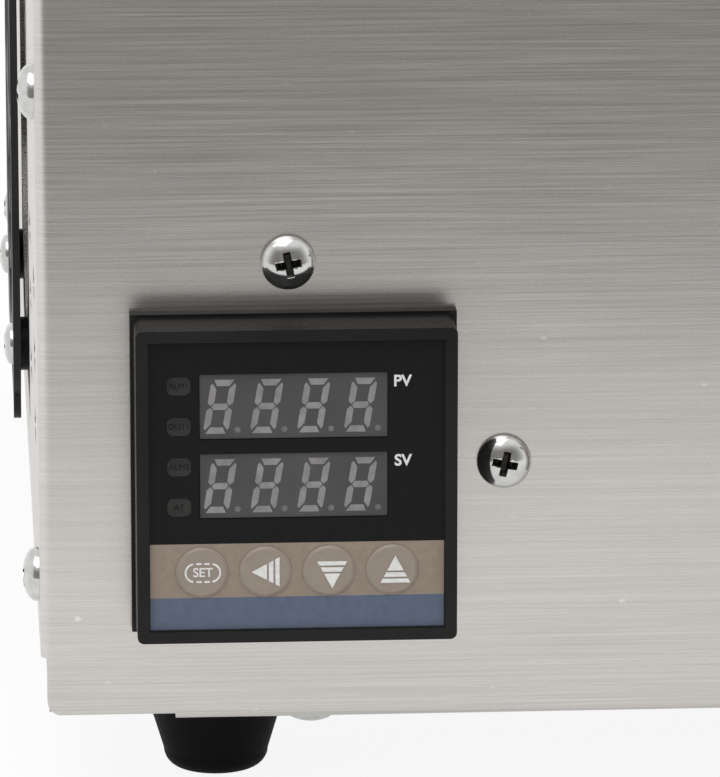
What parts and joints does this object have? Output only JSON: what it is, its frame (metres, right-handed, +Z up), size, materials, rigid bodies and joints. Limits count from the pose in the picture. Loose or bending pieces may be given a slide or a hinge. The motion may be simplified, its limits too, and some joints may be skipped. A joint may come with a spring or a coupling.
{
  "type": "reflow oven",
  "caption": "Low benchtop reflow oven in a brushed stainless casing, with a panel temperature controller, a windowed heating drawer, side fan and rubber feet.",
  "frame": {"origin": "middle of the footprint, on the surface that the feet stand on", "axes": "+Z up, -Y out of the front panel, +X to the right of a person facing the front"},
  "size_m": [0.3166, 0.349, 0.1297],
  "materials": {
    "brushed_stainless": "horizontally brushed",
    "zinc_sheet": "matt galvanised",
    "polished_screw": "polished",
    "black_housing": "fine moulded grain",
    "black_fascia": "satin printed sheet",
    "display_filter": "smoked filter with unlit digits",
    "lamp_lens": "dark lens",
    "key_face": "embossed printed sheet",
    "circuit_board": "solder mask",
    "black_rubber": "matt",
    "fan_plastic": "moulded",
    "bright_sheet": "bright rolled",
    "sink_aluminium": "bead blasted",
    "fibre_blanket": "felted fibre",
    "window_pane": "smoked",
    "quartz": "clear",
    "ceramic_white": "unglazed",
    "silicone": "satin",
    "terminal_plastic": "moulded",
    "plated_contact": "plated",
    "handle_plastic": "fine grain"
  },
  "bodies": {
    "casing": {"casing_wrap": "brushed_stainless", "base_pan": "zinc_sheet", "top_lid": "brushed_stainless", "back_panel": "brushed_stainless", "rubber_feet": "black_rubber", "foot_screws": "polished_screw", "front_screws": "polished_screw", "side_screws": "polished_screw", "base_screws": "polished_screw", "back_screws": "polished_screw", "controller_screen": "zinc_sheet", "controller_case": "black_housing", "controller_fascia": "black_fascia", "controller_board": "circuit_board", "measured_display": "display_filter", "setpoint_display": "display_filter", "indicator_lamps": "lamp_lens", "key_switches": "terminal_plastic", "controller_terminals": "terminal_plastic", "controller_clamp": "black_housing", "cooling_fan_frame": "fan_plastic", "exhaust_fan_frame": "fan_plastic", "exhaust_fan_screws": "polished_screw", "fan_guard": "fan_plastic", "guard_screws": "polished_screw", "chamber_liner": "bright_sheet", "insulation_blanket": "fibre_blanket", "exhaust_duct": "bright_sheet", "heater_tubes": "quartz", "heater_end_caps": "ceramic_white", "heat_reflector": "bright_sheet", "thermocouple_probe": "polished_screw", "chamber_rail_left": "bright_sheet", "chamber_rail_right": "bright_sheet", "relay_heat_sink": "sink_aluminium", "solid_state_relay": "terminal_plastic", "terminal_strip": "terminal_plastic", "power_inlet": "terminal_plastic", "inlet_pins": "plated_contact", "inlet_screws": "polished_screw", "switch_housing": "terminal_plastic", "fuse_holder": "terminal_plastic"},
    "drawer": {"drawer_front": "brushed_stainless", "drawer_inner_plate": "bright_sheet", "window_glass": "window_pane", "window_frame": "bright_sheet", "drawer_gasket": "silicone", "drawer_handle": "handle_plastic", "handle_screws": "polished_screw", "drawer_tray": "bright_sheet", "tray_frame": "bright_sheet", "drawer_runners": "bright_sheet"},
    "set_key": {"key_set": "key_face"},
    "shift_key": {"key_shift": "key_face"},
    "down_key": {"key_down": "key_face"},
    "up_key": {"key_up": "key_face"},
    "cooling_rotor": {"cooling_fan_rotor": "fan_plastic"},
    "exhaust_rotor": {"exhaust_fan_rotor": "fan_plastic"},
    "rocker": {"switch_rocker": "handle_plastic"}
  },
  "joints": [
    {"name": "drawer_slide", "type": "slide", "parent": "casing", "child": "drawer", "axis": [0, -1, 0], "range_m": [0, 0.19]},
    {"name": "set_key_press", "type": "slide", "parent": "casing", "child": "set_key", "axis": [0, 1, 0], "range_m": [0, 0.0006], "stiffness_N_per_m": 900},
    {"name": "shift_key_press", "type": "slide", "parent": "casing", "child": "shift_key", "axis": [0, 1, 0], "range_m": [0, 0.0006], "stiffness_N_per_m": 900},
    {"name": "down_key_press", "type": "slide", "parent": "casing", "child": "down_key", "axis": [0, 1, 0], "range_m": [0, 0.0006], "stiffness_N_per_m": 900},
    {"name": "up_key_press", "type": "slide", "parent": "casing", "child": "up_key", "axis": [0, 1, 0], "range_m": [0, 0.0006], "stiffness_N_per_m": 900},
    {"name": "cooling_fan_spin", "type": "hinge", "parent": "casing", "child": "cooling_rotor", "pos_m": [-0.1422, 0.0215, 0.0837], "axis": [1, 0, 0], "continuous": true},
    {"name": "exhaust_fan_spin", "type": "hinge", "parent": "casing", "child": "exhaust_rotor", "pos_m": [0.0578, 0.1575, 0.0722], "axis": [0, 1, 0], "continuous": true},
    {"name": "power_rocker", "type": "hinge", "parent": "casing", "child": "rocker", "pos_m": [-0.0742, 0.1601, 0.0527], "axis": [0, 0, 1], "range_deg": [0, 16]}
  ]
}
